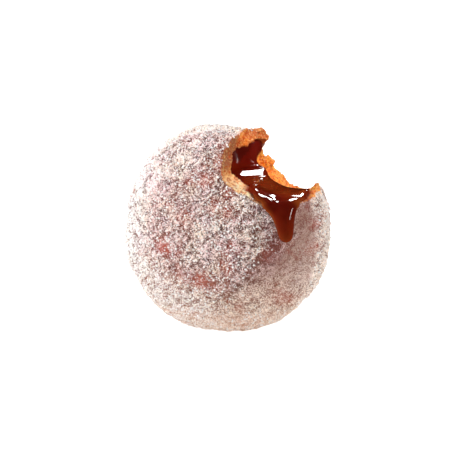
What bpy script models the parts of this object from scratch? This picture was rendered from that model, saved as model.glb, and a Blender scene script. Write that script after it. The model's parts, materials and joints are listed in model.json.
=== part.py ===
"""A round filled doughnut with a bite taken out of it: a sugar-dusted bun round a pocket of chocolate.

Blender 4.5, metres, +Z up. The bun stands on a pressed-flat stretch of its edge, front face
towards -Y, so its thickness runs along Y. The origin is at the middle of the flat underside.
The bite goes through the bun from front to back, at its upper right.
"""

import math

import bmesh
import bpy
from mathutils import Vector, noise

# The bun
WIDTH = 0.0830
HEIGHT = 0.0795
THICKNESS = 0.0580
OUTLINE_POWER = 2.10  # 2 is an ellipse, and more is squarer
SIDE_POWER = 2.15
PRESSED = 0.045  # share of the height that standing on its edge has pressed flat
SAG = 0.010  # how much wider the lower half has spread
LEAN = 0.0015  # how far its foot lies towards -X
BUN_CENTRE = Vector((0.0, 0.0, 0.0395))
BUN_ROUNDS = 5

# The pale belt round the edge, between two shallow creases
CREASE_FROM_MIDDLE = 0.0062
CREASE_WIDTH = 0.0032
CREASE_DEPTH = 0.0011

# The hollow where the skin has sunk beside the drip
HOLLOW_CENTRE = BUN_CENTRE + Vector((0.0350, -0.0160, 0.0000))
HOLLOW_RADIUS = 0.0110
HOLLOW_DEPTH = 0.0018

# Uneven skin: swells of the dough, and crags of the crust
SWELL_SIZE, SWELL_HEIGHT = 0.0180, 0.0010
CRAG_SIZE, CRAG_HEIGHT = 0.0060, 0.0005

# The bite, an arc of tooth marks seen along Y. Each tooth is its middle and half width, in
# degrees from +X towards +Z, and its depth
BITE_CENTRE = BUN_CENTRE + Vector((0.0270, 0.0, 0.0350))
BITE_HALF_LENGTH = 0.0400
FRONT_RADIUS, BACK_RADIUS = 0.0184, 0.0190
FRONT_TEETH = ((200, 36, 0.0040), (252, 18, 0.0010), (280, 26, 0.0028), (307, 14, 0.0042))
BACK_TEETH = ((190, 15, -0.0028), (214, 20, 0.0034), (257, 34, 0.0043), (306, 16, 0.0042))
TOOTH_PITCH, TOOTH_RIPPLE = 22, 0.0004  # degrees, depth
TEETH_MEET = -0.0040  # where along Y the two rows of teeth met
TEETH_BLEND = 0.0080
TEAR_SIZE, TEAR_HEIGHT = 0.0046, 0.0011  # unevenness of the torn crumb
BITE_RINGS, BITE_SIDES = 40, 72

# Torn tufts of crumb on the bite's edge: middle from the bun's, half sizes
TUFTS = (
    ((0.0356, -0.0010, 0.0150), (0.0024, 0.0030, 0.0022)),
    ((0.0086, 0.0125, 0.0330), (0.0043, 0.0044, 0.0034)),
    ((0.0094, 0.0200, 0.0214), (0.0028, 0.0034, 0.0030)),
)
BLOB_ROUNDS = 3  # of a tuft, and of a blob of spilt chocolate
TUFT_LUMPS, TUFT_LUMP_HEIGHT = 0.0022, 0.0009

# The pocket of filling: a lens that leans back at its top, a lobe behind its top, and a tongue
# that runs back from there. Middle from the bun's, half sizes, squareness, lean in degrees
LENS = ((0.0090, -0.0050, 0.0090), (0.0250, 0.0105, 0.0235), 2.6, 8)
LOBE = ((0.0100, 0.0030, 0.0252), (0.0100, 0.0062, 0.0075), 2.2, 10)
TONGUE = ((0.0085, 0.0070, 0.0300), (0.0104, 0.0088, 0.0036), 2.2, 8)
POCKET_ROUNDS = 4
GAP = 0.0003  # between the chocolate and the dough

# The chocolate's open face: sunk on the left of the bite, swelling at its foot
FACE_RADIUS = 0.0212
FACE_SUNK, FACE_SWOLLEN = 0.0016, -0.0012
FACE_TURN = (205, 238)  # degrees over which it goes from sunk to swollen
FACE_CURVE_SUNK, FACE_CURVE_SWOLLEN = 0.0042, -0.0018
FACE_BACK = (0.0010, 0.0090)  # along Y, where it rises behind the sunk part
FACE_AT_BACK = -0.0018
FACE_AT_TONGUE = (190, 18, -0.0032)  # degrees, half width, and how far it rises there
INTO_WALL = 0.0012  # how far the chocolate is pressed past the pocket before the dough is cut out of it

# The drip, from the pool over the front rim to its tip: middle from the bun's, half width,
# half height, and how far its width is turned from the X axis to lie along the skin, in degrees
DRIP = (
    ((0.0235, 0.0000, 0.0142), 0.0090, 0.0030, 0),
    ((0.0245, -0.0080, 0.0147), 0.0112, 0.0030, 0),
    ((0.0262, -0.0140, 0.0147), 0.0100, 0.0029, 12),
    ((0.0283, -0.0184, 0.0130), 0.0062, 0.0028, 30),
    ((0.0296, -0.0198, 0.0098), 0.0043, 0.0027, 38),
    ((0.0303, -0.0204, 0.0062), 0.0034, 0.0026, 38),
    ((0.0307, -0.0207, 0.0034), 0.0028, 0.0025, 38),
)
DRIP_STEPS = 4  # stations between two of the above
DRIP_SIDES = 20
DRIP_TIP_LENGTH = 0.0024

# Where chocolate spilt over the front rim to the left of the drip: middle from the bun's, radius
SPILL = (
    ((0.0163, -0.0184, 0.0186), 0.0024),
    ((0.0152, -0.0146, 0.0184), 0.0030),
    ((0.0190, -0.0212, 0.0175), 0.0022),
    ((0.0174, -0.0198, 0.0172), 0.0024),
    ((0.0204, -0.0204, 0.0160), 0.0028),
    ((0.0236, -0.0204, 0.0146), 0.0031),
    ((0.0174, -0.0152, 0.0168), 0.0032),
    ((0.0210, -0.0158, 0.0158), 0.0034),
    ((0.0160, -0.0090, 0.0176), 0.0032),
)

# How the chocolate's parts run together
FLOW_VOXEL = 0.0007
FLOW_SMOOTHING = 28
FLOW_KEPT = 0.16  # share of the faces that is kept

SUGARED_CRUST, CRUST_ROUGHNESS = (0.66, 0.50, 0.45), 0.85
CHOCOLATE, CHOCOLATE_ROUGHNESS = (0.055, 0.012, 0.005), 0.12


def clear_scene():
    for thing in list(bpy.data.objects):
        bpy.data.objects.remove(thing)


def plain_material(name, colour, roughness):
    material = bpy.data.materials.new(name)
    material.use_nodes = True
    shader = material.node_tree.nodes["Principled BSDF"]
    shader.inputs["Base Color"].default_value = (*colour, 1.0)
    shader.inputs["Roughness"].default_value = roughness
    shader.inputs["Metallic"].default_value = 0.0
    return material


def link_mesh(name, bm):
    mesh = bpy.data.meshes.new(name)
    bmesh.ops.recalc_face_normals(bm, faces=bm.faces)
    bm.to_mesh(mesh)
    bm.free()
    made = bpy.data.objects.new(name, mesh)
    bpy.context.scene.collection.objects.link(made)
    return made


def as_helper(thing):
    thing.hide_render = True
    thing.display_type = "WIRE"
    return thing


def unevenness(point, size):
    """Smooth noise from about -1 to 1 with features of the given size."""
    return noise.noise(point / size)


def bump(distance):
    """A rounded hump, 1 in the middle and 0 from a distance of 1."""
    return max(0.0, 1.0 - distance * distance)


def bun_radius(direction):
    """How far the plain bun reaches from its middle in a direction."""
    across = abs(direction.x / (WIDTH / 2)) ** OUTLINE_POWER
    upward = abs(direction.z / (HEIGHT / 2)) ** OUTLINE_POWER
    outline = (across + upward) ** (1 / OUTLINE_POWER)
    section = outline**SIDE_POWER + abs(direction.y / (THICKNESS / 2)) ** SIDE_POWER
    return section ** (-1 / SIDE_POWER)


def skin_relief(point):
    """Outward shift of the skin: swells, crags, the belt's creases and the sunken hollow."""
    shift = SWELL_HEIGHT * unevenness(point, SWELL_SIZE)
    shift += CRAG_HEIGHT * unevenness(point, CRAG_SIZE)
    edge = (point.x**2 + point.z**2) ** 0.5 / (WIDTH / 2)
    from_crease = (abs(point.y) - CREASE_FROM_MIDDLE) / CREASE_WIDTH
    shift -= CREASE_DEPTH * bump(from_crease) * min(1.0, edge**4)
    from_hollow = (point + BUN_CENTRE - HOLLOW_CENTRE).length / HOLLOW_RADIUS
    shift -= HOLLOW_DEPTH * math.exp(-from_hollow * from_hollow)
    return shift


def fit_to_size(bm):
    """Scales the bun so that it measures exactly its named size, with its underside at zero."""
    low = Vector([min(v.co[axis] for v in bm.verts) for axis in range(3)])
    high = Vector([max(v.co[axis] for v in bm.verts) for axis in range(3)])
    wanted = Vector((WIDTH, THICKNESS, HEIGHT))
    for vert in bm.verts:
        for axis in range(3):
            share = (vert.co[axis] - low[axis]) / (high[axis] - low[axis])
            start = 0.0 if axis == 2 else -wanted[axis] / 2
            vert.co[axis] = start + share * wanted[axis]


def make_bun(name, grown):
    """The whole bun, before the bite. grown pushes its skin outwards."""
    bm = bmesh.new()
    bmesh.ops.create_icosphere(bm, subdivisions=BUN_ROUNDS, radius=1.0)
    floor = -HEIGHT / 2 * (1 - 2 * PRESSED)
    for vert in bm.verts:
        direction = vert.co.normalized()
        point = direction * bun_radius(direction)
        point += direction * skin_relief(point)
        low = max(0.0, -point.z / (HEIGHT / 2))
        point.x = point.x * (1 + SAG * low * (2 - low)) - LEAN * low * low
        point.z = max(point.z, floor)
        vert.co = point
    fit_to_size(bm)
    bm.normal_update()
    for vert in bm.verts:
        vert.co += vert.normal * grown
    return link_mesh(name, bm)


def bite_radius(degrees, y):
    """How far the teeth reached from the bite's middle, at an angle and a place along Y."""
    front = FRONT_RADIUS + sum(
        depth * bump((degrees - middle) / half) for middle, half, depth in FRONT_TEETH
    )
    back = BACK_RADIUS + sum(
        depth * bump((degrees - middle) / half) for middle, half, depth in BACK_TEETH
    )
    behind = min(1.0, max(0.0, 0.5 + (y - TEETH_MEET) / TEETH_BLEND))
    ripple = TOOTH_RIPPLE * abs(math.sin(math.pi * degrees / TOOTH_PITCH))
    return front + (back - front) * behind + ripple


def tube_along_y(name, radius_at, relief, grown):
    """A closed tube along Y round the bite's middle; radius_at(degrees, y) shapes its wall."""
    bm = bmesh.new()
    rings = []
    for ring in range(BITE_RINGS + 1):
        y = BITE_HALF_LENGTH * (2 * ring / BITE_RINGS - 1)
        loop = []
        for side in range(BITE_SIDES):
            degrees = 360 * side / BITE_SIDES
            angle = math.radians(degrees)
            outward = Vector((math.cos(angle), 0.0, math.sin(angle)))
            place = outward * radius_at(degrees, y) + Vector((0.0, y, 0.0))
            torn = relief * unevenness(place, TEAR_SIZE)
            torn += relief / 2 * unevenness(place, TEAR_SIZE / 2)
            loop.append(bm.verts.new(BITE_CENTRE + place + outward * (torn + grown)))
        rings.append(loop)
    for here, there in zip(rings, rings[1:]):
        for side in range(BITE_SIDES):
            after = (side + 1) % BITE_SIDES
            bm.faces.new((here[side], here[after], there[after], there[side]))
    bm.faces.new(rings[0])
    bm.faces.new(rings[-1])
    return as_helper(link_mesh(name, bm))


def make_pocket(name, shape, grown):
    """One part of the pocket; grown pushes its wall outwards."""
    middle, half, power, lean = shape
    bm = bmesh.new()
    bmesh.ops.create_icosphere(bm, subdivisions=POCKET_ROUNDS, radius=1.0)
    for vert in bm.verts:
        direction = vert.co.normalized()
        reach = sum(abs(direction[axis] / half[axis]) ** power for axis in range(3))
        vert.co = direction * (reach ** (-1 / power) + grown)
    pocket = as_helper(link_mesh(name, bm))
    pocket.location = BUN_CENTRE + Vector(middle)
    pocket.rotation_euler = (-math.radians(lean), 0.0, 0.0)
    return pocket


def make_tuft(name, middle, half, grown):
    """A lumpy tuft of torn crumb."""
    bm = bmesh.new()
    bmesh.ops.create_icosphere(bm, subdivisions=BLOB_ROUNDS, radius=1.0)
    for vert in bm.verts:
        direction = vert.co.normalized()
        place = direction * Vector(half)
        lump = TUFT_LUMP_HEIGHT * unevenness(place + Vector(middle), TUFT_LUMPS)
        vert.co = place + direction * (lump + grown)
    tuft = as_helper(link_mesh(name, bm))
    tuft.location = BUN_CENTRE + Vector(middle)
    return tuft


def make_ball(name, middle, radius):
    """A blob of spilt chocolate."""
    bm = bmesh.new()
    bmesh.ops.create_icosphere(bm, subdivisions=BLOB_ROUNDS, radius=radius)
    ball = as_helper(link_mesh(name, bm))
    ball.location = BUN_CENTRE + Vector(middle)
    return ball


def add_boolean(thing, operation, other):
    cut = thing.modifiers.new(other.name, "BOOLEAN")
    cut.operation = operation
    cut.object = other
    cut.solver = "EXACT"


def make_dough(name, grown):
    """The bun with its bite and its pocket; grown thickens it on every side."""
    dough = make_bun(name, grown)
    bite = tube_along_y(name + "_bite", bite_radius, TEAR_HEIGHT, -grown)
    add_boolean(dough, "DIFFERENCE", bite)
    for number, (middle, half) in enumerate(TUFTS):
        tuft = make_tuft(f"{name}_tuft_{number}", middle, half, grown)
        add_boolean(dough, "UNION", tuft)
    add_boolean(dough, "DIFFERENCE", make_pocket(name + "_lens", LENS, -grown))
    add_boolean(dough, "DIFFERENCE", make_pocket(name + "_lobe", LOBE, -grown))
    add_boolean(dough, "DIFFERENCE", make_pocket(name + "_tongue", TONGUE, -grown))
    return dough


def face_radius(degrees, y):
    """Where the chocolate's open face lies, from the bite's middle."""
    turn = (degrees - FACE_TURN[0]) / (FACE_TURN[1] - FACE_TURN[0])
    turn = min(1.0, max(0.0, turn))
    turn = turn * turn * (3 - 2 * turn)
    across = (y - TEETH_MEET) / LENS[1][1]
    level = FACE_SUNK + (FACE_SWOLLEN - FACE_SUNK) * turn
    curve = FACE_CURVE_SUNK + (FACE_CURVE_SWOLLEN - FACE_CURVE_SUNK) * turn
    behind = min(1.0, max(0.0, (y - FACE_BACK[0]) / (FACE_BACK[1] - FACE_BACK[0])))
    behind = behind * behind * (3 - 2 * behind)
    middle, half, rise = FACE_AT_TONGUE
    level += behind * (FACE_AT_BACK * (1 - turn) + rise * bump((degrees - middle) / half))
    return FACE_RADIUS + level + curve * bump(across)


def curve_between(before, start, end, after, share):
    """Catmull-Rom value between start and end."""
    a = 2 * start
    b = end - before
    c = 2 * before - 5 * start + 4 * end - after
    d = after + 3 * start - before - 3 * end
    return (a + b * share + c * share**2 + d * share**3) / 2


def drip_stations():
    """(middle, half width, half height, turn) down the drip, between its named stations."""
    named = [(BUN_CENTRE + Vector(middle), *rest) for middle, *rest in DRIP]
    padded = [named[0], *named, named[-1]]
    found = []
    for four in zip(padded, padded[1:], padded[2:], padded[3:]):
        for step in range(DRIP_STEPS):
            share = step / DRIP_STEPS
            found.append([curve_between(*column, share) for column in zip(*four)])
    found.append(list(named[-1]))
    tip, width, height, turn = found[-1]
    ahead = (tip - found[-2][0]).normalized()
    for step in range(1, DRIP_STEPS):
        angle = math.pi / 2 * step / DRIP_STEPS
        middle = tip + ahead * DRIP_TIP_LENGTH * math.sin(angle)
        found.append([middle, width * math.cos(angle), height * math.cos(angle), turn])
    return found


def make_drip(name):
    """The drip as a closed tube of ellipses along its stations."""
    stations = drip_stations()
    bm = bmesh.new()
    rings = []
    for number, (middle, width, height, turn) in enumerate(stations):
        before = stations[max(0, number - 1)][0]
        after = stations[min(len(stations) - 1, number + 1)][0]
        ahead = (after - before).normalized()
        level = Vector((math.cos(math.radians(turn)), math.sin(math.radians(turn)), 0.0))
        across = (level - ahead * ahead.dot(level)).normalized()
        outward = across.cross(ahead)
        ring = []
        for side in range(DRIP_SIDES):
            angle = 2 * math.pi * side / DRIP_SIDES
            offset = across * (width * math.cos(angle)) + outward * (height * math.sin(angle))
            ring.append(bm.verts.new(middle + offset))
        rings.append(ring)
    for here, there in zip(rings, rings[1:]):
        for side in range(DRIP_SIDES):
            after = (side + 1) % DRIP_SIDES
            bm.faces.new((here[side], here[after], there[after], there[side]))
    bm.faces.new(rings[0])
    bm.faces.new(rings[-1])
    return as_helper(link_mesh(name, bm))


def make_filling(name):
    """The chocolate: what fills the pocket, its open face, and the drip, all run together."""
    filling = make_pocket(name, LENS, INTO_WALL)
    filling.hide_render = False
    filling.display_type = "TEXTURED"
    add_boolean(filling, "UNION", make_pocket(name + "_lobe", LOBE, INTO_WALL))
    add_boolean(filling, "UNION", make_pocket(name + "_tongue", TONGUE, INTO_WALL))
    open_face = tube_along_y(name + "_open_face", face_radius, 0.0, 0.0)
    add_boolean(filling, "DIFFERENCE", open_face)
    add_boolean(filling, "UNION", make_drip(name + "_drip"))
    for number, (middle, radius) in enumerate(SPILL):
        add_boolean(filling, "UNION", make_ball(f"{name}_spill_{number}", middle, radius))
    flow = filling.modifiers.new("run_together", "REMESH")
    flow.mode = "VOXEL"
    flow.voxel_size = FLOW_VOXEL
    smooth = filling.modifiers.new("smooth", "SMOOTH")
    smooth.iterations = FLOW_SMOOTHING
    fewer = filling.modifiers.new("fewer_faces", "DECIMATE")
    fewer.ratio = FLOW_KEPT
    room = as_helper(make_dough("room_for_dough", GAP))
    add_boolean(filling, "DIFFERENCE", room)
    return filling


def main():
    clear_scene()
    dough = make_dough("dough", 0.0)
    dough.data.materials.append(plain_material("sugared_crust", SUGARED_CRUST, CRUST_ROUGHNESS))
    filling = make_filling("chocolate_filling")
    filling.data.materials.append(plain_material("chocolate", CHOCOLATE, CHOCOLATE_ROUGHNESS))


main()
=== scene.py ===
import json
import math

import bpy
import numpy as np
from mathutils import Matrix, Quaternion, Vector, noise
from mathutils.bvhtree import BVHTree

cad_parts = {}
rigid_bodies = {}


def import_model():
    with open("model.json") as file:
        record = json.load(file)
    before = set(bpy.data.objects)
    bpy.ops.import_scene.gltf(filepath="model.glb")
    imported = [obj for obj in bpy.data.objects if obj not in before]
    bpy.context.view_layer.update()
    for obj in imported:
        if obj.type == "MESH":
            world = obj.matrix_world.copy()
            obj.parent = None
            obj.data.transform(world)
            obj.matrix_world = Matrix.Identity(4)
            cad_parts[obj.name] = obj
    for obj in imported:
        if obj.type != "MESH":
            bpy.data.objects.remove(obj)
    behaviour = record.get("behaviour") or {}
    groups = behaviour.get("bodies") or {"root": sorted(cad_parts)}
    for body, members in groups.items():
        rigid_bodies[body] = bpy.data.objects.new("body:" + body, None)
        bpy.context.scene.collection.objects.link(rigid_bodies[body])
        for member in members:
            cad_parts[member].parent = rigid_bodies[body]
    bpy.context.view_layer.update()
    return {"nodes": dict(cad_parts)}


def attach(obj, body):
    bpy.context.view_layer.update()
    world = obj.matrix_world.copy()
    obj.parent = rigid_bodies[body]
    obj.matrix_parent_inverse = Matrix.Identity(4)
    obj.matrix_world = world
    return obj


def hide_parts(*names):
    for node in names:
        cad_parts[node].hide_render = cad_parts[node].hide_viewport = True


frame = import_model()

# ------------------------------------------------------------------------------------------------
# The bun. A ball of yeast dough, fried and rolled in sugar while hot, so that its skin is craggy
# and grainy all over. The bite has torn it open: its wall is soft, spongy crumb, orange-brown
# where the chocolate has stained it.

MM = 0.001
BUN_MIDDLE = Vector((0.0, 0.0, 0.0395))
BUN_HALF = (0.0415, 0.0290, 0.03975)
OUTLINE_POWER, SIDE_POWER = 2.10, 2.15
BITE_MIDDLE = BUN_MIDDLE + Vector((0.0270, 0.0, 0.0350))
BITE_REACH = 26.5 * MM

BUN_VOXEL = 0.52 * MM
UNDER_SUGAR = 0.25 * MM  # how far the skin lies under the tops of the sugar
SKIN_SMOOTHING = 30
CRUMB_SMOOTHING = 2
SKIN_LEVEL = 0.91  # share of the way from the bun's middle to its skin under which all is crumb
POCKET_LEVEL = 0.93  # the same share, under which the pocket's wall is looked for
FACING_CRUMB = (0.40, 0.62)  # how squarely a surface has to face the bite to be crumb
MASK_SOFTENING = 2
COVERED_KEPT = 0.80  # share of the faces left when the pocket's wall under the chocolate is thinned
SOAK_DEPTH = 1.3  # mm
FAR_OFF = 9.0  # mm: further from the chocolate than its stain reaches
TOUCHING = 0.5  # mm: as near as this, the chocolate covers the pocket's wall
TUFTS = (
    # torn out of the crumb, with no skin on them: middle from the bun's, reach in mm
    (Vector((0.0092, 0.0122, 0.0338)), 5.6),
    (Vector((0.0352, -0.0006, 0.0156)), 3.0),
    (Vector((0.0094, 0.0200, 0.0214)), 4.0),
)


def deselect_all():
    for thing in bpy.context.view_layer.objects:
        thing.select_set(False)


def work_on(piece):
    deselect_all()
    piece.select_set(True)
    bpy.context.view_layer.objects.active = piece


def copy_of_node(node, name):
    """A copy of a CAD node's mesh, with the points that its triangles share merged."""
    piece = bpy.data.objects.new(name, frame["nodes"][node].data.copy())
    bpy.context.scene.collection.objects.link(piece)
    piece.data.name = name
    piece.data.materials.clear()
    work_on(piece)
    bpy.ops.object.mode_set(mode="EDIT")
    bpy.ops.mesh.select_all(action="SELECT")
    bpy.ops.mesh.remove_doubles(threshold=0.001 * MM)
    bpy.ops.object.mode_set(mode="OBJECT")
    return piece


def modify(piece, kind, **settings):
    """Adds a modifier with these settings and applies it."""
    work_on(piece)
    step = piece.modifiers.new(kind.lower(), kind)
    for setting, value in settings.items():
        setattr(step, setting, value)
    bpy.ops.object.modifier_apply(modifier=step.name)


def read_points(piece):
    values = np.zeros(len(piece.data.vertices) * 3)
    piece.data.vertices.foreach_get("co", values)
    return values.reshape(-1, 3)


def read_normals(piece):
    values = np.zeros(len(piece.data.vertices) * 3)
    piece.data.vertex_normals.foreach_get("vector", values)
    return values.reshape(-1, 3)


def write_points(piece, points):
    piece.data.vertices.foreach_set("co", points.ravel())
    piece.data.update()


def soften(piece, values, rounds):
    """Averages a value per point with its neighbours, a few times over."""
    edges = np.zeros(len(piece.data.edges) * 2, dtype=np.int64)
    piece.data.edges.foreach_get("vertices", edges)
    ends = edges.reshape(-1, 2)
    count = 1.0 + np.bincount(ends.ravel(), minlength=len(values))
    for _ in range(rounds):
        total = values.copy()
        total += np.bincount(ends[:, 0], values[ends[:, 1]], minlength=len(values))
        total += np.bincount(ends[:, 1], values[ends[:, 0]], minlength=len(values))
        values = total / count
    return values


def ramp(values, nothing, full):
    """0 up to one value, 1 from the other on, and smooth between. Either may be the larger."""
    share = np.clip((values - nothing) / (full - nothing), 0.0, 1.0)
    return share * share * (3.0 - 2.0 * share)


def fade(first, second=0.0):
    """1 in the middle of a place and less further out. Distances are shares of its reach."""
    return np.exp(-(first**2) - second**2)


def keep_value(piece, name, values):
    """Stores a value per point, for materials and for strewing to read."""
    layer = piece.data.attributes.new(name, "FLOAT", "POINT")
    layer.data.foreach_set("value", values.astype(np.float32))


def make_group(piece, name, values):
    group = piece.vertex_groups.new(name=name)
    for index, value in enumerate(values):
        if value > 0.002:
            group.add([index], float(value), "REPLACE")


def unevenness(points, size, seed):
    """Smooth noise from about -1 to 1 at each point, with features of the given size."""
    start = Vector((seed * 7.3, seed * 3.1, seed * 5.7))
    return np.array([noise.noise(Vector(point) / size + start) for point in points])


def from_middle(points):
    """How far each point lies from the bun's middle, in mm: across, along and up."""
    return ((points - np.array(BUN_MIDDLE)) / MM).T


def level_in_bun(points):
    """How far each point lies from the bun's middle to its plain skin: 1 on the skin."""
    away = np.abs(points - np.array(BUN_MIDDLE)) / np.array(BUN_HALF)
    outline = (away[:, 0] ** OUTLINE_POWER + away[:, 2] ** OUTLINE_POWER) ** (1 / OUTLINE_POWER)
    return (outline**SIDE_POWER + away[:, 1] ** SIDE_POWER) ** (1 / SIDE_POWER)


def crumb_mask(piece):
    """1 on the torn crumb and the pocket's wall, 0 on the skin."""
    points, normals = read_points(piece), read_normals(piece)
    from_bite = (points - np.array(BITE_MIDDLE))[:, (0, 2)]
    distance = np.linalg.norm(from_bite, axis=1)
    facing = -(normals[:, (0, 2)] * from_bite).sum(1) / distance
    torn = ramp(facing, *FACING_CRUMB) * (distance < BITE_REACH)
    inside = ramp(level_in_bun(points), SKIN_LEVEL + 0.01, SKIN_LEVEL - 0.01)
    found = np.maximum(torn, inside)
    for middle, reach in TUFTS:
        away = np.linalg.norm(points - np.array(BUN_MIDDLE + middle), axis=1) / MM
        found = np.maximum(found, ramp(away, reach, reach - 1.0))
    return found


def displace(piece, texture_kind, size, depth, group, name, direction=None, **settings):
    """Moves the surface in and out by half of depth, in a pattern of the given size."""
    texture = bpy.data.textures.new(name, texture_kind)
    for setting, value in settings.items():
        setattr(texture, setting, value)
    texture.noise_scale = size
    modify(
        piece,
        "DISPLACE",
        texture=texture,
        texture_coords="OBJECT" if direction else "LOCAL",
        texture_coords_object=direction,
        mid_level=0.5,
        strength=depth,
        vertex_group=group,
    )


def distance_to(node, points, here=None):
    """How far each point lies from a CAD node, in mm; FAR_OFF where it isn't looked for."""
    mesh = frame["nodes"][node].data
    surface = BVHTree.FromPolygons(
        [point.co for point in mesh.vertices], [face.vertices for face in mesh.polygons]
    )
    away = np.full(len(points), FAR_OFF)
    for index in range(len(points)) if here is None else np.nonzero(here)[0]:
        away[index] = surface.find_nearest(Vector(points[index]))[3] / MM
    return away


def shade_smooth(piece):
    for polygon in piece.data.polygons:
        polygon.use_smooth = True


bun = copy_of_node("dough", "sugared_bun")
modify(bun, "REMESH", mode="VOXEL", voxel_size=BUN_VOXEL)
points = read_points(bun)
inside = level_in_bun(points) < POCKET_LEVEL
touching = distance_to("chocolate_filling", points, inside) < TOUCHING
make_group(bun, "covered", touching.astype(float))
modify(bun, "DECIMATE", ratio=COVERED_KEPT, vertex_group="covered", vertex_group_factor=10.0)
crumb = soften(bun, crumb_mask(bun), MASK_SOFTENING)
make_group(bun, "whole", 1.0 - crumb)
make_group(bun, "torn", crumb)
modify(bun, "SMOOTH", iterations=SKIN_SMOOTHING, vertex_group="whole")
modify(bun, "SMOOTH", iterations=CRUMB_SMOOTHING, vertex_group="torn")
modify(bun, "DISPLACE", mid_level=0.0, strength=-UNDER_SUGAR, vertex_group="whole")

# the skin lies smoother in the hollow at the right of the front face, in the dent under the
# right tuft, round the foot, and on the belt round the edge. The hollow and the dent are also
# darkened, partly as painted shade; along the hollow's left side the sugar is thinner and
# darker, as the painted shade of a furrow
HOLLOW_EDGE, HOLLOW_WAY = (18.0, -11.7), (0.77, -0.64)  # a point on its left side, and the way in
FURROW_SHADE_WIDTH = 2.4
DENT_SHADE_MIDDLE, DENT_SHADE_REACH = (34.5, 8.0), (4.5, 9.0)
BELT_WAVERS = 2.2

plain_points, plain_normals = read_points(bun), read_normals(bun)
across, along, up = from_middle(plain_points)
inwards = (across - HOLLOW_EDGE[0]) * HOLLOW_WAY[0] + (up - HOLLOW_EDGE[1]) * HOLLOW_WAY[1]
hollow = ramp(inwards, -2.0, 5.0) * ramp(along, -4.0, -12.0) * ramp(up, -36.0, -14.0)
# painted shade of a furrow along the hollow's left side, where the sugar is thinner and darker
furrow_shade = fade((inwards + 1.0) / FURROW_SHADE_WIDTH) * ramp(along, -12.0, -18.0)
furrow_shade *= ramp(up, -27.0, -19.0) * ramp(up, 9.0, 2.0)
# under the right tuft the skin is smoother and thinly sugared, and darkened as painted shade
dent_shade = fade((across - DENT_SHADE_MIDDLE[0]) / DENT_SHADE_REACH[0], (up - DENT_SHADE_MIDDLE[1]) / DENT_SHADE_REACH[1])
dent_shade *= ramp(along, -3.0, -9.0)
hollow = np.maximum(hollow, dent_shade)
foot = ramp(up, -24.0, -33.0)
off_belt = np.abs(along + BELT_WAVERS * unevenness(plain_points, 9.0 * MM, 5))
belt = ramp(off_belt, 9.5, 4.5) * ramp(np.hypot(across, up), 30.0, 38.0)
smoother = np.clip(hollow + 0.7 * foot + 0.35 * belt, 0.0, 1.0)
make_group(bun, "caked", (1.0 - crumb) * (1.0 - 0.62 * smoother))

# caked lumps, pits between them, and drawn-out streaks where it was rolled in the sugar
STREAK_SLOPE, STREAK_STRETCH = math.radians(-38), (3.0, 1.6, 1.0)

displace(bun, "CLOUDS", 3.4 * MM, 0.85 * MM, "caked", "swells", noise_depth=2)
displace(bun, "CLOUDS", 0.80 * MM, 1.50 * MM, "caked", "lumps", noise_depth=1)
displace(bun, "VORONOI", 1.1 * MM, 0.50 * MM, "caked", "cakes", distance_metric="DISTANCE")
streak_way = bpy.data.objects.new("streak_way", None)
bpy.context.scene.collection.objects.link(streak_way)
streak_way.rotation_euler = (0.0, STREAK_SLOPE, 0.0)
streak_way.scale = STREAK_STRETCH
displace(bun, "CLOUDS", 1.3 * MM, 0.85 * MM, "whole", "streaks", streak_way, noise_depth=1)
bpy.data.objects.remove(streak_way)
height = ((read_points(bun) - plain_points) * plain_normals).sum(1) / MM
height -= height.mean()

# the crumb: bubbles torn open, and fine shreds
displace(bun, "CLOUDS", 2.4 * MM, 1.3 * MM, "torn", "shreds", noise_depth=2)
displace(bun, "VORONOI", 2.4 * MM, 0.9 * MM, "torn", "bubbles", distance_metric="DISTANCE")
displace(bun, "CLOUDS", 0.8 * MM, 1.2 * MM, "torn", "fine_shreds", noise_depth=1)

# where the fried skin shows through the sugar, darker partly as painted shade in folds, and where
# the sugar lies thick, lighter partly as painted light, on the front face: across and up from the
# bun's middle and radius, in mm, and how much
BARE_AND_SHADED_PATCHES = (
    (-15.6, -3.0, 3.8, 1.0),
    (-1.0, -14.4, 5.0, 1.0),
    (-10.7, -19.7, 4.5, 0.35),
    (9.6, -8.6, 3.8, 0.9),
    (28.5, -22.5, 4.0, 0.75),
    (39.1, 6.1, 2.4, 0.9),
    (39.0, -3.0, 3.2, 0.9),
    (-14.6, 14.4, 9.0, 0.35),
    (-22.7, -8.2, 4.0, 0.3),
    (0.2, 22.7, 3.4, 0.9),
    (4.6, 30.0, 3.2, 0.9),
    (-7.2, 9.0, 3.8, 0.75),
    (4.5, 14.2, 3.6, 0.6),
    (9.6, 12.6, 3.6, 0.8),
    (-6.2, 22.6, 3.6, 0.55),
    (10.0, 19.6, 3.2, 0.9),
    (-1.3, 28.6, 3.2, 0.5),
    (23.9, -1.8, 3.6, 0.35),
    (-24.9, -19.6, 4.0, 0.45),
    (15.4, -1.9, 3.4, 0.45),
    (-14.1, 13.2, 3.4, 0.7),
    (-9.0, -14.8, 3.8, 0.5),
    (-6.2, -30.6, 6.0, 0.5),
    (-17.6, -18.6, 5.0, 0.45),
)
CAKED_AND_LIT_PATCHES = (
    (-8.3, 33.3, 5.0, 0.7),
    (3.8, 0.8, 4.6, 0.45),
    (-24.0, 21.0, 8.0, 0.5),
    (-19.4, 19.2, 4.4, 0.6),
    (-21.8, 12.9, 4.4, 0.9),
    (-19.3, 6.4, 3.8, 0.8),
    (-4.3, -9.9, 3.4, 0.6),
    (18.3, -5.5, 3.2, 0.5),
    (16.3, -16.0, 4.5, 0.5),
    (28.3, -12.1, 4.5, 0.5),
)


def patch(middle_across, middle_up, radius, amount):
    away = np.hypot(across - middle_across, up - middle_up) / radius
    return amount * fade(away) * ramp(along, 0.0, -6.0)


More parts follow.
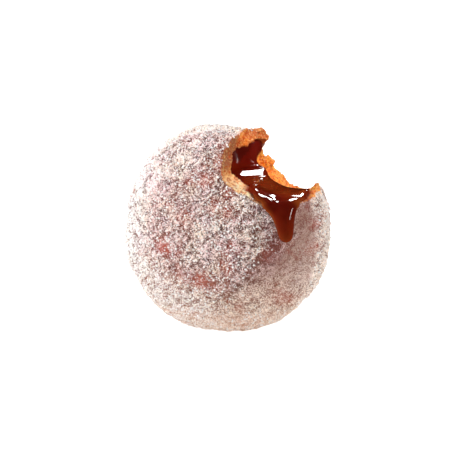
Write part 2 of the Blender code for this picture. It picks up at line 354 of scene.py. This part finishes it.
points = read_points(bun)
points[:, 2] = np.maximum(points[:, 2], 0.0)
write_points(bun, points)
patches = 0.5 * unevenness(points, 8.0 * MM, 1) + 0.35 * unevenness(points, 3.0 * MM, 2)
bare_and_shaded = 0.65 * ramp(-patches, 0.05, 0.55)
across, along, up = from_middle(points)
for row in BARE_AND_SHADED_PATCHES:
    bare_and_shaded = np.maximum(bare_and_shaded, patch(*row))
for row in CAKED_AND_LIT_PATCHES:
    bare_and_shaded -= patch(*row)
sugar = 0.95 - 0.5 * bare_and_shaded - 1.3 * hollow - 0.35 * foot - 0.6 * furrow_shade
sugar = np.clip(sugar, 0.0, 1.0) * (1.0 - crumb)
sugar *= 0.45 + 0.55 * ramp(height, -0.40, 0.15)
sugar *= ramp(points[:, 2], 0.5 * MM, 1.2 * MM)
keep_value(bun, "crumb", crumb)
keep_value(bun, "sugar", sugar)
keep_value(bun, "bare_and_shaded", bare_and_shaded)
keep_value(bun, "height", height)
# the hollow and the dent, where the colours are darkened partly as painted shade
keep_value(bun, "hollow", np.maximum(hollow * ramp(up, -28.0, 2.0), dent_shade))
keep_value(bun, "furrow_shade", furrow_shade)
keep_value(bun, "foot", foot)
keep_value(bun, "low", ramp(up, -2.0, -26.0))
# the right edge is painted lighter, as light from the right, and kept with the belt
right_edge_light = ramp(across, 28.0, 38.0) * ramp(up, 12.0, -4.0)
keep_value(bun, "belt", np.clip(0.8 * belt + 0.4 * right_edge_light, 0.0, 1.0))

# a wide ring on the front face: along it the sugar is darker and mauve, as the painted shade of a
# crease; outside it at the lower left it is thick with drifted sugar, as it is all down the left
# side, where its whiteness is partly painted light from that side
RING_MIDDLE, RING_RADIUS, RING_WIDTH = (4.0, 9.0), 24.5, 3.4

around = np.hypot(across - RING_MIDDLE[0], up - RING_MIDDLE[1])
crease_shade = fade((around - RING_RADIUS) / RING_WIDTH)
crease_shade *= ramp(along, -6.0, -14.0) * ramp(up, 26.0, 16.0)
crease_shade *= 0.75 + 0.5 * unevenness(points, 5.0 * MM, 6)
keep_value(bun, "crease_shade", np.clip(crease_shade, 0.0, 1.0))
drift_low = 0.7 * ramp(around, 27.0, 35.0) * ramp(up, -2.0, -12.0) * ramp(across, 8.0, -6.0)
# whiter all down the left side: thick sugar, and painted light from that side
drift_and_light = np.maximum(ramp(across, -18.0, -37.0), drift_low)
keep_value(bun, "drift_and_light", drift_and_light * ramp(along, 2.0, -10.0))

# in the crumb: near the chocolate, near the skin, the near rim, and the two sides of its top
dry = distance_to("chocolate_filling", points, crumb > 0.05)
keep_value(bun, "soaked", np.exp(-dry / SOAK_DEPTH))
keep_value(bun, "rind", ramp(level_in_bun(points), 0.92, 0.985))
keep_value(bun, "cream", ramp(along, -9.0, -16.0) * ramp(up, 27.5, 19.0))
toasted = ramp(up, 24.0, 30.0) * ramp(along, -12.0, 4.0) * ramp(across, 15.0, 11.0)
keep_value(bun, "toasted", toasted)
# painted shade on the upper left of the crumb's top
rim_shade = ramp(up, 23.5, 28.5) * ramp(along, -3.0, -8.0) * ramp(across, 14.0, 9.0)
keep_value(bun, "rim_shade", rim_shade)
shade_smooth(bun)


class Nodes:
    """A short way to add and join the nodes of a material or a group."""

    def __init__(self, tree):
        self.tree = tree

    def add(self, kind, settings=None, **inputs):
        node = self.tree.nodes.new(kind)
        for setting, value in (settings or {}).items():
            setattr(node, setting, value)
        for name, value in inputs.items():
            self.feed(node, name.replace("_", " "), value)
        return node

    def feed(self, node, socket, value):
        entry = node.inputs[socket]
        if isinstance(value, bpy.types.NodeSocket):
            self.tree.links.new(value, entry)
        else:
            entry.default_value = value

    def maths(self, operation, first, second):
        node = self.tree.nodes.new("ShaderNodeMath")
        node.operation = operation
        self.feed(node, 0, first)
        self.feed(node, 1, second)
        return node.outputs[0]

    def mix(self, share, first, second):
        node = self.tree.nodes.new("ShaderNodeMix")
        node.data_type = "RGBA"
        self.feed(node, 0, share)
        self.feed(node, 6, first)
        self.feed(node, 7, second)
        return node.outputs[2]

    def spread(self, value, low, high, new_low=0.0, new_high=1.0):
        node = self.tree.nodes.new("ShaderNodeMapRange")
        for socket, setting in enumerate((value, low, high, new_low, new_high)):
            self.feed(node, socket, setting)
        return node.outputs[0]


def new_material(name):
    material = bpy.data.materials.new(name)
    material.use_nodes = True
    return material, Nodes(material.node_tree), material.node_tree.nodes["Principled BSDF"]


def set_shader(shader, **values):
    for name, value in values.items():
        shader.inputs[name.replace("_", " ")].default_value = value


def stored(n, name):
    """A value that is stored per point of the piece."""
    return n.add("ShaderNodeAttribute", {"attribute_name": name}).outputs["Fac"]


def make_mottling():
    """The group that every material's unevenness comes from: patches of a size, low to high."""
    tree = bpy.data.node_groups.new("mottling", "ShaderNodeTree")
    for name in ("Scale", "Detail", "Low", "High", "From", "To"):
        tree.interface.new_socket(name, in_out="INPUT", socket_type="NodeSocketFloat")
    tree.interface.new_socket("Amount", in_out="OUTPUT", socket_type="NodeSocketFloat")
    g = Nodes(tree)
    given = g.add("NodeGroupInput").outputs
    place = g.add("ShaderNodeTexCoord").outputs["Object"]
    patches = g.add("ShaderNodeTexNoise", Vector=place, Scale=given["Scale"], Roughness=0.62)
    g.feed(patches, "Detail", given["Detail"])
    amount = g.spread(
        patches.outputs["Fac"], given["Low"], given["High"], given["From"], given["To"]
    )
    g.feed(g.add("NodeGroupOutput"), 0, amount)
    return tree


mottling = make_mottling()


def mottled(n, scale, low=0.3, high=0.7, start=0.0, end=1.0, detail=2.0):
    """Places the mottling group in a material, with its own values."""
    patches = n.add("ShaderNodeGroup", {"node_tree": mottling}, Scale=scale, Detail=detail)
    for name, value in (("Low", low), ("High", high), ("From", start), ("To", end)):
        patches.inputs[name].default_value = value
    return patches.outputs[0]


def part_of(n, share, name):
    """A share of a value that is stored per point."""
    return n.maths("MULTIPLY", stored(n, name), share)


def warm_places(n):
    """The foot and the belt: warmer sugar, partly painted light from below and from the right."""
    return n.maths("MAXIMUM", stored(n, "foot"), stored(n, "belt"))


# between the lumps of sugar the fried skin shows through, mauve to red and dark enough to stand
# in for the shade between the lumps too; darker in the hollow, partly as painted shade, and paler
# and tan low down and at the foot, partly as painted light from below
MAUVE_SKIN, BROWN_SKIN = (0.10, 0.042, 0.040, 1), (0.20, 0.070, 0.052, 1)
SHADED_HOLLOW_SKIN, BARE_AND_SHADED_SKIN = (0.25, 0.105, 0.082, 1), (0.42, 0.10, 0.07, 1)
LOW_SKIN, FOOT_SKIN = (0.42, 0.21, 0.14, 1), (0.66, 0.43, 0.31, 1)

bun_finish, n, shader = new_material("sugared_dough")
skin_colour = n.mix(mottled(n, 130.0, 0.38, 0.64, detail=3.0), MAUVE_SKIN, BROWN_SKIN)
skin_colour = n.mix(stored(n, "hollow"), skin_colour, SHADED_HOLLOW_SKIN)
skin_colour = n.mix(stored(n, "bare_and_shaded"), skin_colour, BARE_AND_SHADED_SKIN)
skin_colour = n.mix(part_of(n, 0.35, "low"), skin_colour, LOW_SKIN)
skin_colour = n.mix(part_of(n, 0.75, "foot"), skin_colour, FOOT_SKIN)

# how much sugar covers it: most on the lumps, with fine grain all over
grain = mottled(n, 2600.0)
cover = n.spread(stored(n, "height"), -0.45, 0.45, 0.10, 0.90)
cover = n.maths("ADD", cover, n.spread(grain, 0.15, 0.85, -0.62, 0.62))
cover = n.maths("ADD", cover, mottled(n, 310.0, 0.3, 0.7, -0.12, 0.12, detail=1.0))
cover = n.maths("SUBTRACT", cover, part_of(n, 0.36, "bare_and_shaded"))
cover = n.maths("SUBTRACT", cover, part_of(n, 0.36, "furrow_shade"))
cover = n.maths("ADD", cover, part_of(n, 0.25, "belt"))
cover = n.maths("ADD", cover, part_of(n, 0.15, "drift_and_light"))
cover = n.maths("SUBTRACT", cover, part_of(n, 0.18, "crease_shade"))
cover = n.spread(cover, 0.17, 0.77)

# the sugar is pinkish to creamy white; warmer low down and on the belt, and lighter there partly
# as painted light from below and from the right; whitest where it has drifted at the left, partly
# as painted light from that side; and darker in the crease, as painted shade, and in the hollow,
# partly as painted shade
PINKISH_SUGAR, CREAMY_SUGAR = (0.91, 0.72, 0.73, 1), (1.0, 0.86, 0.75, 1)
LOW_SUGAR, WARM_SUGAR = (0.95, 0.83, 0.72, 1), (0.96, 0.85, 0.76, 1)
SHADED_HOLLOW_SUGAR, CREASE_SHADE_SUGAR = (0.37, 0.215, 0.17, 1), (0.72, 0.48, 0.49, 1)
DRIFTED_AND_LIT_SUGAR = (0.98, 0.99, 0.98, 1)
SPECK = (0.15, 0.062, 0.058, 1)

white = n.mix(mottled(n, 110.0, 0.36, 0.64), PINKISH_SUGAR, CREAMY_SUGAR)
white = n.mix(stored(n, "low"), white, LOW_SUGAR)
white = n.mix(stored(n, "hollow"), white, SHADED_HOLLOW_SUGAR)
white = n.mix(warm_places(n), white, WARM_SUGAR)
white = n.mix(part_of(n, 0.9, "drift_and_light"), white, DRIFTED_AND_LIT_SUGAR)
white = n.mix(part_of(n, 0.8, "crease_shade"), white, CREASE_SHADE_SUGAR)
skin_colour = n.mix(cover, skin_colour, white)
specks = mottled(n, 2300.0, 0.57, 0.66, 0.0, 0.7, detail=1.0)
skin_colour = n.mix(specks, skin_colour, SPECK)

# the crumb is orange-brown with paler specks, which are painted highlights, and dark spots, which
# are painted shade in its holes; creamy at the near rim, toasted at its top, darker at its upper
# left as painted shade, and stained beside the chocolate
DARK_SHRED, LIGHT_SHRED = (0.72, 0.135, 0.014, 1), (1.0, 0.50, 0.085, 1)
DARK_CREAM, LIGHT_CREAM = (0.97, 0.58, 0.26, 1), (1.0, 0.96, 0.68, 1)
RIND, TOASTED, RIM_SHADE = (0.98, 0.56, 0.22, 1), (0.44, 0.105, 0.026, 1), (0.27, 0.095, 0.048, 1)
CRUMB_GLINT, HOLE_SHADE, SOAKED = (1.0, 0.66, 0.27, 1), (0.50, 0.075, 0.010, 1), (0.34, 0.05, 0.012, 1)

shreds = mottled(n, 560.0, 0.37, 0.63, detail=4.0)
crumb_colour = n.mix(shreds, DARK_SHRED, LIGHT_SHRED)
crumb_colour = n.mix(part_of(n, 0.4, "rind"), crumb_colour, RIND)
creamy = n.mix(shreds, DARK_CREAM, LIGHT_CREAM)
crumb_colour = n.mix(stored(n, "cream"), crumb_colour, creamy)
crumb_colour = n.mix(part_of(n, 0.8, "toasted"), crumb_colour, TOASTED)
crumb_colour = n.mix(part_of(n, 0.9, "rim_shade"), crumb_colour, RIM_SHADE)
# painted highlights on the crumb
crumb_glints = mottled(n, 1100.0, 0.52, 0.64, 0.0, 0.5)
crumb_colour = n.mix(crumb_glints, crumb_colour, CRUMB_GLINT)
# painted shade in the crumb's holes
hole_shade = mottled(n, 800.0, 0.54, 0.62, 0.0, 0.70, detail=1.0)
crumb_colour = n.mix(hole_shade, crumb_colour, HOLE_SHADE)
soaked = n.spread(stored(n, "soaked"), 0.25, 0.85)
crumb_colour = n.mix(soaked, crumb_colour, SOAKED)

# crumb and skin meet in a ragged edge
edge = n.maths("ADD", stored(n, "crumb"), n.spread(grain, 0.2, 0.8, -0.30, 0.30))
n.feed(shader, "Base Color", n.mix(n.spread(edge, 0.35, 0.65), skin_colour, crumb_colour))
n.feed(shader, "Roughness", n.spread(grain, 0.0, 1.0, 0.65, 0.9))
bumps = n.maths("ADD", n.maths("MULTIPLY", grain, 0.5), n.maths("MULTIPLY", cover, 0.5))
bumps = n.maths("ADD", bumps, n.maths("MULTIPLY", shreds, part_of(n, 0.5, "crumb")))
bump = n.add("ShaderNodeBump", Strength=0.7, Distance=0.4 * MM, Height=bumps)
n.feed(shader, "Normal", bump.outputs[0])
set_shader(shader, Subsurface_Weight=0.10, Subsurface_Scale=0.8 * MM, Specular_IOR_Level=0.2)
shader.inputs["Subsurface Radius"].default_value = (1.0, 0.55, 0.35)
bun.data.materials.append(bun_finish)
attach(bun, "root")
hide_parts("dough")

# ------------------------------------------------------------------------------------------------
# The sugar. Grains and crystals that stuck to the hot skin, loosely and unevenly, and small
# clumps where it caked. They are strewn over the skin only: the torn crumb has next to none.

GRAIN_SIDE = 0.34 * MM
CLUMP_RADIUS = 0.36 * MM
KINDS = 4  # different shapes of each


def hide_away(shapes, name):
    """Puts shapes in a collection of their own, to be copied from and then removed."""
    store = bpy.data.collections.new(name)
    for shape in shapes:
        for home in list(shape.users_collection):
            home.objects.unlink(shape)
        store.objects.link(shape)
    return store


def cut_crystal(name, side, seed):
    """A crystal: a box of uneven sides with one corner broken off."""
    deselect_all()
    bpy.ops.mesh.primitive_cube_add(size=side)
    crystal = bpy.context.active_object
    crystal.name = name
    unequal = Vector((1.0, 0.72 + 0.2 * math.sin(seed), 0.78 + 0.2 * math.cos(seed * 2.0)))
    bpy.ops.object.mode_set(mode="EDIT")
    bpy.ops.mesh.select_all(action="SELECT")
    bpy.ops.transform.resize(value=unequal)
    corner = Vector((side, side, side)) * 0.30
    bpy.ops.mesh.bisect(
        plane_co=corner, plane_no=(1.0, 0.7, 0.8), use_fill=True, clear_outer=True
    )
    bpy.ops.mesh.select_all(action="SELECT")
    bpy.ops.mesh.quads_convert_to_tris()
    bpy.ops.object.mode_set(mode="OBJECT")
    return crystal


def lump(name, radius, seed):
    """A rounded lump with an uneven surface."""
    deselect_all()
    bpy.ops.mesh.primitive_ico_sphere_add(subdivisions=1, radius=radius)
    shape = bpy.context.active_object
    shape.name = name
    points = read_points(shape)
    points *= (1.0 + 0.5 * unevenness(points, radius * 0.9, seed))[:, None]
    write_points(shape, points)
    return shape


def strewn(name, base, mask, shapes, spacing, most, smallest, largest, seed):
    """One mesh of copies of shapes strewn over base, thickest where its mask value is 1: at
    least spacing apart, at most so many to a square metre, each turned and scaled at random."""
    piece = bpy.data.objects.new(name, base.data.copy())
    bpy.context.scene.collection.objects.link(piece)
    piece.data.materials.clear()
    store = hide_away(shapes, name + "_shapes")
    tree = bpy.data.node_groups.new(name, "GeometryNodeTree")
    tree.interface.new_socket("Geometry", in_out="INPUT", socket_type="NodeSocketGeometry")
    tree.interface.new_socket("Geometry", in_out="OUTPUT", socket_type="NodeSocketGeometry")
    g = Nodes(tree)
    start, end = g.add("NodeGroupInput"), g.add("NodeGroupOutput")
    density = g.add("GeometryNodeInputNamedAttribute", {"data_type": "FLOAT"}, Name=mask)
    places = g.add(
        "GeometryNodeDistributePointsOnFaces",
        {"distribute_method": "POISSON"},
        Mesh=start.outputs[0],
        Distance_Min=spacing,
        Density_Max=most,
        Density_Factor=density.outputs[0],
        Seed=seed,
    )
    kinds = g.add("GeometryNodeCollectionInfo", None, Collection=store)
    kinds.inputs["Separate Children"].default_value = True
    kinds.inputs["Reset Children"].default_value = True
    turn = g.add("FunctionNodeRandomValue", {"data_type": "FLOAT_VECTOR"}, Seed=seed + 1)
    turn.inputs["Max"].default_value = (math.tau, math.tau, math.tau)
    size = g.add("FunctionNodeRandomValue", {"data_type": "FLOAT"}, Seed=seed + 2)
    size.inputs[2].default_value = smallest
    size.inputs[3].default_value = largest
    copies = g.add(
        "GeometryNodeInstanceOnPoints",
        None,
        Points=places.outputs["Points"],
        Instance=kinds.outputs[0],
        Pick_Instance=True,
        Rotation=turn.outputs["Value"],
        Scale=size.outputs[1],
    )
    real = g.add("GeometryNodeRealizeInstances", None, Geometry=copies.outputs[0])
    g.feed(end, 0, real.outputs[0])
    modify(piece, "NODES", node_group=tree)
    for shape in shapes:
        bpy.data.objects.remove(shape)
    bpy.data.collections.remove(store)
    return piece


# most crystals are white and some are stained by the skin; they follow the sugar under them,
# with its painted shade in the hollow and its painted light low down, on the right and at the left
PALE_CRYSTAL, STAINED_CRYSTAL = (0.96, 0.82, 0.775, 1), (0.33, 0.18, 0.17, 1)
LOW_CRYSTAL, WARM_CRYSTAL = (0.90, 0.74, 0.65, 1), (0.95, 0.80, 0.68, 1)
SHADED_HOLLOW_CRYSTAL, DRIFTED_AND_LIT_CRYSTAL = (0.42, 0.26, 0.215, 1), (0.98, 0.98, 0.97, 1)

sugar_finish, n, shader = new_material("sugar_crystals")
colour = n.mix(mottled(n, 1900.0, 0.46, 0.62), PALE_CRYSTAL, STAINED_CRYSTAL)
colour = n.mix(stored(n, "low"), colour, LOW_CRYSTAL)
colour = n.mix(warm_places(n), colour, WARM_CRYSTAL)
colour = n.mix(n.spread(stored(n, "hollow"), 0.0, 0.4), colour, SHADED_HOLLOW_CRYSTAL)
colour = n.mix(part_of(n, 0.9, "drift_and_light"), colour, DRIFTED_AND_LIT_CRYSTAL)
n.feed(shader, "Base Color", colour)
frost = mottled(n, 6000.0)
n.feed(shader, "Roughness", n.spread(frost, 0.0, 1.0, 0.35, 0.6))
bump = n.add("ShaderNodeBump", Strength=0.3, Distance=0.05 * MM, Height=frost)
n.feed(shader, "Normal", bump.outputs[0])
set_shader(shader, Subsurface_Weight=0.3, Subsurface_Scale=0.6 * MM)

grains = strewn(
    "sugar_grains",
    bun,
    "sugar",
    [cut_crystal(f"grain_{seed}", GRAIN_SIDE, seed) for seed in range(KINDS)],
    spacing=0.55 * MM,
    most=1.0e6,
    smallest=0.7,
    largest=1.3,
    seed=11,
)
grains.data.materials.append(sugar_finish)
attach(grains, "root")
clumps = strewn(
    "sugar_clumps",
    bun,
    "sugar",
    [lump(f"clump_{seed}", CLUMP_RADIUS, seed) for seed in range(KINDS)],
    spacing=0.9 * MM,
    most=0.45e6,
    smallest=0.6,
    largest=1.4,
    seed=21,
)
clumps.data.materials.append(sugar_finish)
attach(clumps, "root")

# ------------------------------------------------------------------------------------------------
# The chocolate. A soft, runny filling, poured in hot: it has sunk in the upper part of its
# pocket, pooled in the lower part, spilt over the front rim and run down the skin as one drip.

CHOCOLATE_VOXEL = 0.40 * MM
CHOCOLATE_SMOOTHING = 14
POOL_SMOOTHING = 250
SLOPE_HEIGHT, SLOPE_BLEND, MOST_LIFT = 21.1, 0.4, 2.5  # mm
CLINGS = 0.32 * MM  # how far it reaches over the gap to the crumb
THIN_DEPTH = 1.1  # mm

chocolate = copy_of_node("chocolate_filling", "chocolate")
modify(chocolate, "REMESH", mode="VOXEL", voxel_size=CHOCOLATE_VOXEL)
modify(chocolate, "SMOOTH", iterations=CHOCOLATE_SMOOTHING)
points, normals = read_points(chocolate), read_normals(chocolate)
across, along, up = from_middle(points)
pool = ramp(across, 9.0, 16.0) * ramp(across, 30.0, 26.0) * ramp(along, 3.0, 0.0)
pool *= ramp(along + 0.5 * (26.0 - across), -19.0, -15.0) * ramp(up, 23.0, 21.0)
pool *= ramp(normals[:, 2], 0.3, 0.7)
make_group(chocolate, "pool", soften(chocolate, pool, 4))
modify(chocolate, "SMOOTH", iterations=POOL_SMOOTHING, vertex_group="pool")

# it has run together in a slope from the sunk part down to the pool
points, normals = read_points(chocolate), read_normals(chocolate)
across, along, up = from_middle(points)
slope = SLOPE_HEIGHT - 0.50 * (across - 10.0) + 0.40 * along
slope += 0.22 * unevenness(points, 4.5 * MM, 4)
lift = (slope - up + np.hypot(slope - up, SLOPE_BLEND)) / 2
lift *= ramp(across, 2.0, 4.5) * ramp(across, 17.0, 13.0) * ramp(up, 18.0, 20.0)
lift *= ramp(normals[:, 2], 0.2, 0.5) * ramp(np.abs(along), 11.0, 8.0) * ramp(slope, 25.5, 22.0)
points[:, 2] += MM * np.minimum(lift, MOST_LIFT)
write_points(chocolate, points)
modify(chocolate, "SMOOTH", iterations=6)
modify(chocolate, "DISPLACE", mid_level=0.0, strength=CLINGS)
shade_smooth(chocolate)

# it is amber where it lies thin on the dough and nearly black where it is deep; painted light
# makes it lighter on the drip's left side and its tip, where light would come through, and on top
# of the pool
points, normals = read_points(chocolate), read_normals(chocolate)
across, along, up = from_middle(points)
outside = ramp(level_in_bun(points), 0.93, 1.0)
thin = outside * np.exp(-distance_to("dough", points) / THIN_DEPTH)
keep_value(chocolate, "thin", soften(chocolate, thin, 6))
shone_through = outside * ramp(-normals[:, 0] - 0.6 * normals[:, 2], 0.1, 0.9)
shone_through += outside * ramp(up, 7.0, 2.0)
pool_top = ramp(normals[:, 2], 0.75, 0.97) * ramp(along, -17.0, -11.0) * ramp(up, 21.5, 20.0)
keep_value(chocolate, "sunk", (1.0 - outside) * ramp(up, 21.5, 28.0))
keep_value(chocolate, "lit", soften(chocolate, np.clip(shone_through + pool_top, 0.0, 1.0), 8))

DARKEST_CHOCOLATE, DARK_CHOCOLATE = (0.072, 0.004, 0.002, 1), (0.132, 0.013, 0.003, 1)
SUNK_CHOCOLATE, LIT_CHOCOLATE = (0.106, 0.006, 0.003, 1), (0.130, 0.019, 0.004, 1)
THIN_CHOCOLATE = (0.25, 0.060, 0.010, 1)

chocolate_finish, n, shader = new_material("runny_chocolate")
deep = n.mix(mottled(n, 70.0, 0.35, 0.7), DARKEST_CHOCOLATE, DARK_CHOCOLATE)
colour = n.mix(stored(n, "sunk"), deep, SUNK_CHOCOLATE)
colour = n.mix(stored(n, "lit"), colour, LIT_CHOCOLATE)
colour = n.mix(n.spread(stored(n, "thin"), 0.15, 0.75), colour, THIN_CHOCOLATE)
n.feed(shader, "Base Color", colour)

# its gloss is a wet coat, which is gone where it has sunk
gloss = mottled(n, 70.0, 0.3, 0.7, 0.04, 0.09)
n.feed(shader, "Roughness", n.maths("ADD", gloss, part_of(n, 0.15, "sunk")))
n.feed(shader, "Coat Weight", n.spread(stored(n, "sunk"), 0.0, 1.0, 0.42, 0.0))
ripple = mottled(n, 260.0, 0.0, 1.0, detail=1.0)
bump = n.add("ShaderNodeBump", Strength=0.15, Distance=0.3 * MM, Height=ripple)
n.feed(shader, "Normal", bump.outputs[0])
set_shader(shader, IOR=1.5, Specular_IOR_Level=0.06, Coat_Roughness=0.06)
set_shader(shader, Subsurface_Weight=0.15, Subsurface_Scale=1.5 * MM)
chocolate.data.materials.append(chocolate_finish)
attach(chocolate, "root")
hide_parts("chocolate_filling")

# ------------------------------------------------------------------------------------------------
# The floor, the lights and the camera, which stands where the photographer's did: a little to
# the right of the front face, and 15 degrees above level.

VIEW_AZIMUTH, VIEW_ELEVATION = math.radians(20), math.radians(15)
PIXEL_SIZE = 0.392 * MM
PHOTO_SIDE = 453
MIDDLE_PIXEL = (227, 225)
LENS, SENSOR = 100.0, 36.0
FLOOR_SIDE = 20.0
PALE_FLOOR, PALER_FLOOR = (0.78, 0.77, 0.76, 1), (0.82, 0.81, 0.80, 1)

deselect_all()
bpy.ops.mesh.primitive_plane_add(size=FLOOR_SIDE)
floor = bpy.context.active_object
floor.name = "floor"
floor_finish, n, shader = new_material("pale_floor")
n.feed(shader, "Base Color", n.mix(mottled(n, 30.0), PALE_FLOOR, PALER_FLOOR))
set_shader(shader, Roughness=0.9)

# the floor glows, so that it is white in the picture and lights the doughnut softly from below
seen = n.add("ShaderNodeLightPath").outputs["Is Camera Ray"]
n.feed(shader, "Emission Strength", n.spread(seen, 0.0, 1.0, 0.42, 0.95))
n.feed(shader, "Emission Color", n.mix(seen, (1.0, 0.89, 0.80, 1), (1.0, 1.0, 1.0, 1)))
floor.data.materials.append(floor_finish)
floor.visible_glossy = False


def add_light(
    name, direction, distance, width, height, power, turn=0.0, mirrored=False, colour=(1, 1, 1)
):
    """A softbox: mirrored, it is only seen in the chocolate's gloss, and otherwise only lights."""
    light = bpy.data.lights.new(name, "AREA")
    light.shape = "RECTANGLE"
    light.size, light.size_y = width, height
    light.energy = power
    lamp = bpy.data.objects.new(name, light)
    bpy.context.scene.collection.objects.link(lamp)
    towards = Vector(direction).normalized()
    lamp.location = BUN_MIDDLE + towards * distance
    lamp.rotation_mode = "QUATERNION"
    lamp.rotation_quaternion = towards.to_track_quat("Z", "Y") @ Quaternion(
        (0.0, 0.0, 1.0), math.radians(turn)
    )
    lamp.visible_glossy, lamp.visible_diffuse = mirrored, not mirrored
    light.color = colour


# the direction from the bun, and in metres how far off, how wide and how high, then the power
add_light("key", (-0.79, -0.34, 0.50), 0.7, 0.14, 0.14, 5.8)
add_light("fill", (0.42, -0.90, 0.06), 1.2, 1.0, 0.5, 5.8, colour=(1.0, 0.83, 0.77))
add_light("top_light", (0.05, 0.16, 0.98), 1.0, 0.50, 0.50, 7.0)
add_light("right_light", (0.88, 0.38, 0.14), 1.0, 0.30, 0.60, 5.0)
add_light("left_gloss", (0.25, 0.50, 0.83), 0.8, 0.13, 0.16, 6.0, mirrored=True)
add_light("back_gloss", (0.05, 0.79, 0.61), 0.7, 0.14, 0.065, 2.1, mirrored=True)
add_light("right_gloss", (0.95, 0.04, 0.34), 0.75, 0.022, 0.36, 1.6, turn=-52, mirrored=True)

# a narrow warm lamp that lights the crumb in the bite
BITE_LIGHT_AIM = BUN_MIDDLE + Vector((0.018, 0.001, 0.023))
BITE_LIGHT_WAY = Vector((0.45, -0.50, 0.74)).normalized()
BITE_LIGHT_DISTANCE = 0.5

bite_light = bpy.data.lights.new("bite_light", "SPOT")
bite_light.energy, bite_light.color = 8.0, (1.0, 0.50, 0.22)
bite_light.spot_size, bite_light.spot_blend = math.radians(5.6), 1.0
bite_light.shadow_soft_size = 0.0
lamp = bpy.data.objects.new("bite_light", bite_light)
bpy.context.scene.collection.objects.link(lamp)
lamp.location = BITE_LIGHT_AIM + BITE_LIGHT_WAY * BITE_LIGHT_DISTANCE
lamp.rotation_euler = BITE_LIGHT_WAY.to_track_quat("Z", "Y").to_euler()
lamp.visible_glossy = False

# a white backdrop that lights little, and isn't seen in the gloss
world = bpy.data.worlds.new("studio")
bpy.context.scene.world = world
world.use_nodes = True
n, backdrop = Nodes(world.node_tree), world.node_tree.nodes["Background"]
backdrop.inputs["Color"].default_value = (1.0, 0.98, 0.96, 1)
seen = n.add("ShaderNodeLightPath").outputs["Is Camera Ray"]
n.feed(backdrop, "Strength", n.spread(seen, 0.0, 1.0, 0.15, 1.1))
world.cycles_visibility.glossy = False

camera_data = bpy.data.cameras.new("camera")
camera_data.lens = LENS
camera_data.sensor_width = SENSOR
camera_data.shift_x = -(MIDDLE_PIXEL[0] - PHOTO_SIDE / 2) / PHOTO_SIDE
camera_data.shift_y = (MIDDLE_PIXEL[1] - PHOTO_SIDE / 2) / PHOTO_SIDE
camera = bpy.data.objects.new("camera", camera_data)
bpy.context.scene.collection.objects.link(camera)
backward = Vector(
    (
        math.sin(VIEW_AZIMUTH) * math.cos(VIEW_ELEVATION),
        -math.cos(VIEW_AZIMUTH) * math.cos(VIEW_ELEVATION),
        math.sin(VIEW_ELEVATION),
    )
)
camera.location = BUN_MIDDLE + backward * (PIXEL_SIZE * PHOTO_SIDE * LENS / SENSOR)
camera.rotation_euler = backward.to_track_quat("Z", "Y").to_euler()
bpy.context.scene.camera = camera
bpy.context.scene.view_settings.view_transform = "Standard"
